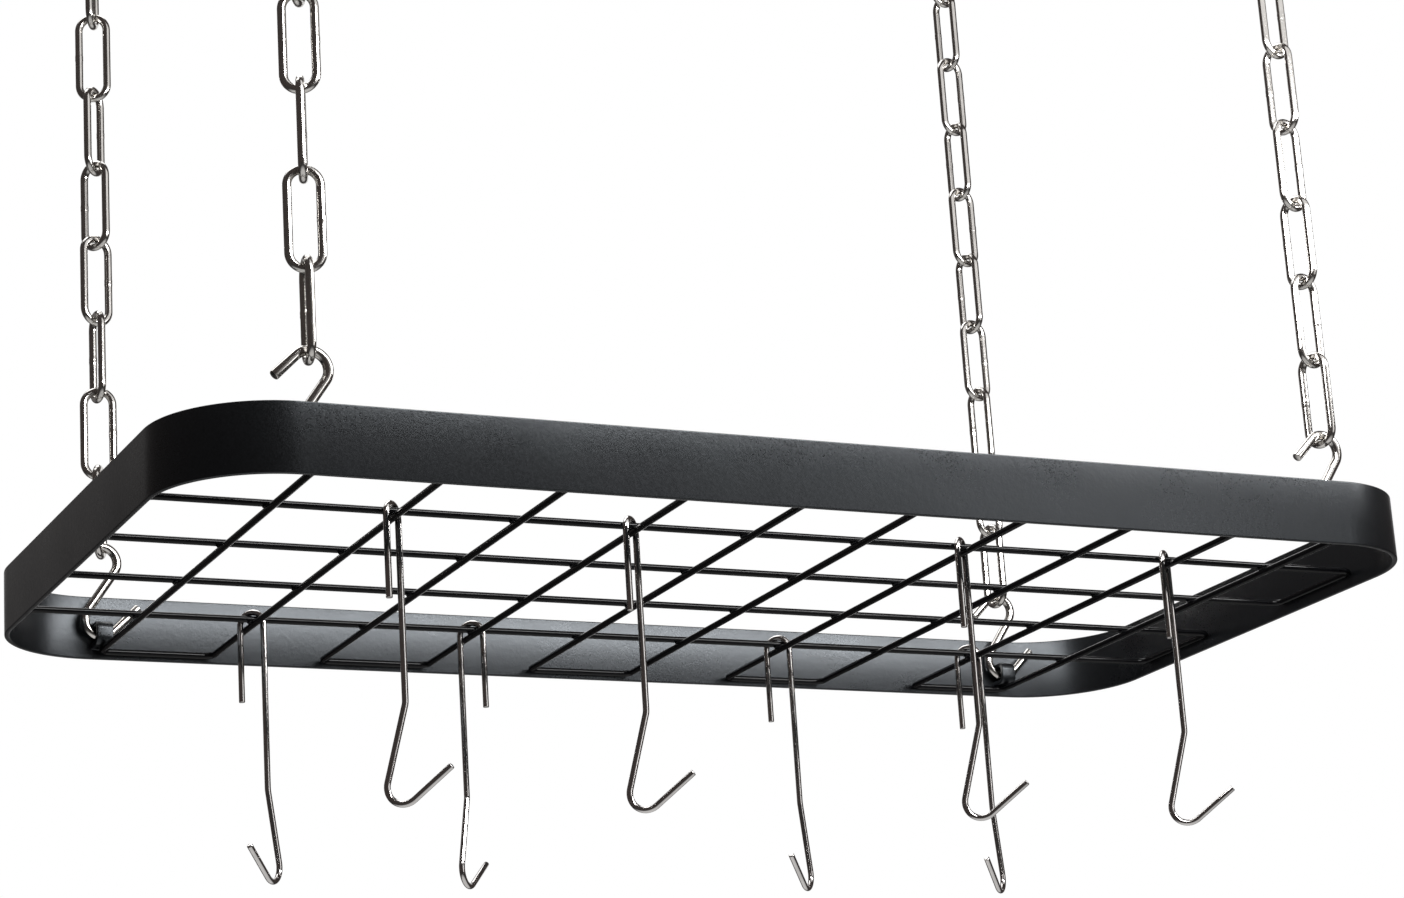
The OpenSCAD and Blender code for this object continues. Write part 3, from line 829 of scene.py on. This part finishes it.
class POTRACK_OT_ceiling_hooks(bpy.types.Operator):
    """Bends the screw hooks and cuts their threads"""
    bl_idname = "potrack.ceiling_hooks"
    bl_label = "Ceiling hooks"

    def execute(self, context):
        hanging = context.scene.pot_rack_hanging
        wire = hanging.ceiling_wire
        radius, neck = hanging.bowl_radius, hanging.neck_radius
        both = radius + neck
        apart = math.hypot(both, hanging.bowl_lean)
        neck_turn = math.acos(neck / apart) - math.acos(both / apart)
        for corner in CORNERS:
            node = "ceiling_hook_" + corner
            low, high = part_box(node)
            chain = middle_of(f"chain_{corner}_link_1")
            lowest, added = (math.radians(a) for a in TWIST[corner])
            turned = Matrix.Rotation(lowest + added * TWISTED_LINKS, 3, "Z")
            dip = hanging.mouth - QUARTER_TURN
            heading = turned @ Vector((0, math.cos(dip), math.sin(dip)))
            left = turned @ Vector((0, -math.sin(dip), math.cos(dip)))
            bowl = Vector((chain.x, chain.y, low.z + wire / 2 + radius))
            path = bent(bowl - heading * hanging.bowl_tip + left * radius, heading, left, [
                (hanging.bowl_tip, radius, -(hanging.mouth + math.pi + neck_turn), 0),
                (hanging.bowl_lean, neck, neck_turn, 0),
                (hanging.neck_length + hanging.plain_length, 0, 0, 0),
            ])
            points = cut_ends(path, wire, last=False)[:-1] + shank(path[-1], high.z, hanging)
            piece = grow("screwed_" + node, screw_tree, {
                "Wire diameter": wire, "Thread start": hanging.plain_length, "Thread pitch": hanging.thread_pitch,
                "Thread depth": hanging.thread_depth, "Thread turns": hanging.thread_turns,
                "Material": finish(zinc_plate, hanging.zinc_colour)}, curve_through(node, points))
            fit_to_body(piece, "ceiling_hooks", "zinc_plate", node)
        return {"FINISHED"}


# Points of a shank in each turn of its thread, and the thickness left at its tip
STEPS_A_TURN, TIP_THICKNESS = 14, 0.03


def shank(start, tip_z, hanging):
    """Points up the threaded shank, close enough together to carry the thread, to the tip."""
    rise = tip_z - start.z
    core_end = start.z + hanging.thread_turns * hanging.thread_pitch
    count = round(rise / (hanging.thread_pitch / STEPS_A_TURN))
    points = [(start, 1.0)]
    for i in range(1, count + 1):
        z = start.z + rise * i / count
        left_over = 1 - max(0.0, z - core_end) / (tip_z - core_end)
        points.append((Vector((start.x, start.y, z)), max(TIP_THICKNESS, left_over)))
    return points


class POTRACK_OT_pot_hooks(bpy.types.Operator):
    """Bends the pot hooks that straddle the grid's crossings"""
    bl_idname = "potrack.pot_hooks"
    bl_label = "Pot hooks"

    def execute(self, context):
        hooks = context.scene.pot_rack_hooks
        wire = hooks.wire
        radius = hooks.saddle_width / 2
        for node, turn in POT_HOOK_TURNS.items():
            pivot = pivot_of(node + "_swing")
            bend_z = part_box(node)[1].z - wire / 2 - radius
            turned = Matrix.Rotation(math.radians(turn), 3, "Z")
            start = Vector((pivot.x, pivot.y, bend_z)) + turned @ Vector((-radius, 0, -hooks.short_leg))
            path = bent(start, Vector((0, 0, 1)), turned @ Vector((-1, 0, 0)), [
                (hooks.short_leg, radius, -math.pi, 0),
                (hooks.long_leg, hooks.kink_radius, -hooks.kink, QUARTER_TURN),
                (hooks.lean_length, hooks.bowl_radius, hooks.kink + QUARTER_TURN + hooks.tail_angle, 0),
                (hooks.tail_length, 0, 0, 0),
            ])
            piece = grow("bent_" + node, wire_tree, {
                "Wire diameter": wire, "Sides": POT_HOOK_SIDES,
                "Material": finish(chrome_plate, hooks.chrome_colour)}, curve_through(node, cut_ends(path, wire)))
            fit_to_body(piece, node, "chrome_plate", node)
        return {"FINISHED"}


# ---- The studio

# Soft boxes: place and aim from the middle of the bar frame, width and height, and watts
SOFT_BOXES = {
    "low_front_soft_box": ((0.24, -0.42, 0.27), (0.24, 0.0, 0.27), (1.0, 0.14), 8.6),
    "high_front_soft_box": ((0.38, -0.42, 0.65), (0.38, 0.0, 0.65), (1.3, 0.64), 2.5),
    "key_soft_box": ((0.75, -1.5, 0.1), (0.35, 0.0, 0.0), (1.5, 1.1), 1.6),
    "strip_soft_box": ((1.2, -1.9, 0.1), (0.1, 0.0, 0.0), (0.35, 1.2), 4),
    "top_soft_box": ((-0.3, 0.9, 2.2), (0.0, 0.0, 0.0), (2.2, 1.6), 30),
    "left_soft_box": ((-0.58, 0.75, 0.2), (-0.38, 0.0, 0.0), (0.4, 0.6), 0.085),
}
SENSOR_WIDTH = 36
CAMERA_REACH = 50
WHITE = (1, 1, 1, 1)
FLOOR_REACH = 9
FLOOR_SIDES = 96
# Distances from the middle over which the floor turns white for the camera, and for everything else darkens to
# painted shade, the colour of an unlit room
FLOOR_WHITENS = (1.2, 6.0)
FLOOR_DARKENS = (1.8, 3.6)
FLOOR_PAINTED_SHADE = (0.06, 0.055, 0.053, 1)
# Direction of the white sheet, and how well a direction agrees with it where the sheet begins and where it is full
SHEET_DIRECTION = (0.44, 0.85, 0.27)
SHEET_EDGE = (0.86, 0.96)
DARK_ROOM = (0.055, 0.046, 0.043, 1)
# Heights of a direction between which the light goes from dim to bright
OVERHEAD_EDGE = (-0.1, 0.6)
DIM_LIGHT = (0.3, 0.3, 0.31, 1)
BRIGHT_LIGHT = (0.72, 0.72, 0.73, 1)


class POTRACK_OT_studio(bpy.types.Operator):
    """Sets up the floor, the soft lights and the camera"""
    bl_idname = "potrack.studio"
    bl_label = "Studio"

    def execute(self, context):
        studio = context.scene.pot_rack_studio
        context.scene.view_settings.view_transform = "Standard"
        make_floor(studio.floor_depth)
        make_surroundings(context.scene)
        for name, values in SOFT_BOXES.items():
            soft_box(name, *values)
        camera = new_object("camera", bpy.data.cameras.new("camera"))
        camera.data.sensor_width = SENSOR_WIDTH
        camera.data.lens = studio.lens
        camera.data.shift_x, camera.data.shift_y = studio.camera_shift
        camera.data.clip_end = CAMERA_REACH
        # The camera looks along -Z: turned up from straight down, then round the rack, after its own roll
        camera.matrix_world = (Matrix.Translation(RACK_MIDDLE + Vector(studio.camera_place))
                               @ Matrix.Rotation(-studio.azimuth, 4, "Z")
                               @ Matrix.Rotation(QUARTER_TURN + studio.elevation, 4, "X")
                               @ Matrix.Rotation(studio.roll, 4, "Z"))
        context.scene.camera = camera
        return {"FINISHED"}


def make_floor(depth):
    """A round pale floor, painted board, far below the rack. It fades into the white backdrop towards its rim, and
    for lamps and mirrors into painted shade.
    """
    rim = [(FLOOR_REACH * math.cos(a), FLOOR_REACH * math.sin(a), -depth)
           for a in (2 * math.pi * i / FLOOR_SIDES for i in range(FLOOR_SIDES))]
    mesh = bpy.data.meshes.new("studio_floor")
    mesh.from_pydata(rim, [], [tuple(range(FLOOR_SIDES))])
    floor = new_object("studio_floor", mesh)
    material, tree, place = new_finish("pale_floor_paint")
    clouds = add(tree, NOISE, {"Vector": place, "Scale": every(300)})
    board = add(tree, MIX, {"Factor": clouds, "A": linear("#f4f4f2"), "B": linear("#f0f0ee")}, data_type="RGBA")
    flat = add(tree, VECTOR_MATH, (place, (1, 1, 0)), "MULTIPLY")
    far = add(tree, VECTOR_MATH, (flat,), "LENGTH")
    # The camera sees the board run out into the white backdrop; all else sees its paint darken towards the rim,
    # painted shade that stands in for the dark room
    darkened = add(tree, RANGE, (far, *FLOOR_DARKENS))
    board_with_painted_shade = add(tree, MIX, {"Factor": darkened, "A": board, "B": FLOOR_PAINTED_SHADE}, data_type="RGBA")
    paint = add(tree, "ShaderNodeBsdfPrincipled", {"Base Color": board_with_painted_shade, "Roughness": 0.7})
    white = add(tree, "ShaderNodeBsdfDiffuse", {"Color": board})
    glow = add(tree, "ShaderNodeEmission", {"Color": WHITE})
    whitened = add(tree, RANGE, (far, *FLOOR_WHITENS))
    run_out = add(tree, "ShaderNodeMixShader", (whitened, white, glow))
    rays = add(tree, "ShaderNodeLightPath").outputs
    seen = add(tree, "ShaderNodeMixShader", (rays["Is Camera Ray"], paint, run_out))
    add(tree, "ShaderNodeOutputMaterial", {"Surface": seen})
    mesh.materials.append(material)
    floor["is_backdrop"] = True


def make_surroundings(scene):
    """A white sheet behind the rack in a dark room, for mirrors; even light, brighter from above, for the rest."""
    world = bpy.data.worlds.new("studio")
    tree = emptied_tree(world)
    direction = add(tree, "ShaderNodeTexCoord").outputs["Generated"]
    towards = add(tree, VECTOR_MATH, (direction, SHEET_DIRECTION), "DOT_PRODUCT")
    sheet = add(tree, RANGE, (towards, *SHEET_EDGE), interpolation_type="SMOOTHSTEP")
    mirrored = add(tree, MIX, {"Factor": sheet, "A": DARK_ROOM, "B": WHITE}, data_type="RGBA")
    up = add(tree, "ShaderNodeSeparateXYZ", (direction,)).outputs["Z"]
    overhead = add(tree, RANGE, (up, *OVERHEAD_EDGE), interpolation_type="SMOOTHSTEP")
    lighting = add(tree, MIX, {"Factor": overhead, "A": DIM_LIGHT, "B": BRIGHT_LIGHT}, data_type="RGBA")
    rays = add(tree, "ShaderNodeLightPath").outputs
    shiny = add(tree, MATH, (rays["Is Glossy Ray"], rays["Is Transmission Ray"]), "ADD")
    seen = add(tree, MIX, {"Factor": shiny, "A": lighting, "B": mirrored}, data_type="RGBA")
    # The camera sees white all round
    shown = add(tree, MIX, {"Factor": rays["Is Camera Ray"], "A": seen, "B": WHITE}, data_type="RGBA")
    light = add(tree, "ShaderNodeBackground", {"Color": shown})
    add(tree, "ShaderNodeOutputWorld", {"Surface": light})
    scene.world = world


def soft_box(name, place, aim, size, watts):
    """A rectangular lamp behind cloth, which stays out of the picture."""
    lamp = bpy.data.lights.new(name, "AREA")
    lamp.shape = "RECTANGLE"
    lamp.size, lamp.size_y = size
    lamp.energy = watts
    holder = new_object(name, lamp)
    holder.location = RACK_MIDDLE + Vector(place)
    holder.rotation_mode = "QUATERNION"
    holder.rotation_quaternion = (Vector(aim) - Vector(place)).to_track_quat("-Z", "Y")
    holder.visible_camera = False


# ---- The sidebar panel, and running it all

OPERATORS = (
    POTRACK_OT_bar_frame,
    POTRACK_OT_grid,
    POTRACK_OT_lugs,
    POTRACK_OT_s_hooks,
    POTRACK_OT_chains,
    POTRACK_OT_ceiling_hooks,
    POTRACK_OT_pot_hooks,
    POTRACK_OT_studio,
)


class POTRACK_PT_panel(bpy.types.Panel):
    """Lists the pieces of the rack in the order in which they are made"""
    bl_idname = "POTRACK_PT_panel"
    bl_label = "Hanging pot rack"
    bl_space_type = "VIEW_3D"
    bl_region_type = "UI"
    bl_category = "Pot Rack"

    def draw(self, context):
        for group, settings in SETTINGS.items():
            box = self.layout.box()
            for key in settings.__annotations__:
                box.prop(getattr(context.scene, group), key)
        for operator in OPERATORS:
            self.layout.operator(operator.bl_idname)


CLASSES = (*SETTINGS.values(), *OPERATORS, POTRACK_PT_panel)


def register():
    for made in CLASSES:
        bpy.utils.register_class(made)
    for group, settings in SETTINGS.items():
        setattr(bpy.types.Scene, group, PointerProperty(type=settings))


def unregister():
    for group in SETTINGS:
        delattr(bpy.types.Scene, group)
    for made in reversed(CLASSES):
        bpy.utils.unregister_class(made)


def main():
    register()
    for operator in OPERATORS:
        area, name = operator.bl_idname.split(".")
        getattr(getattr(bpy.ops, area), name)()
    boxes = {"cad": CAD_BOX, "visual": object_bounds()}
    {name: [list(corner) for corner in box] for name, box in boxes.items()}


if __name__ == "__main__":
    main()
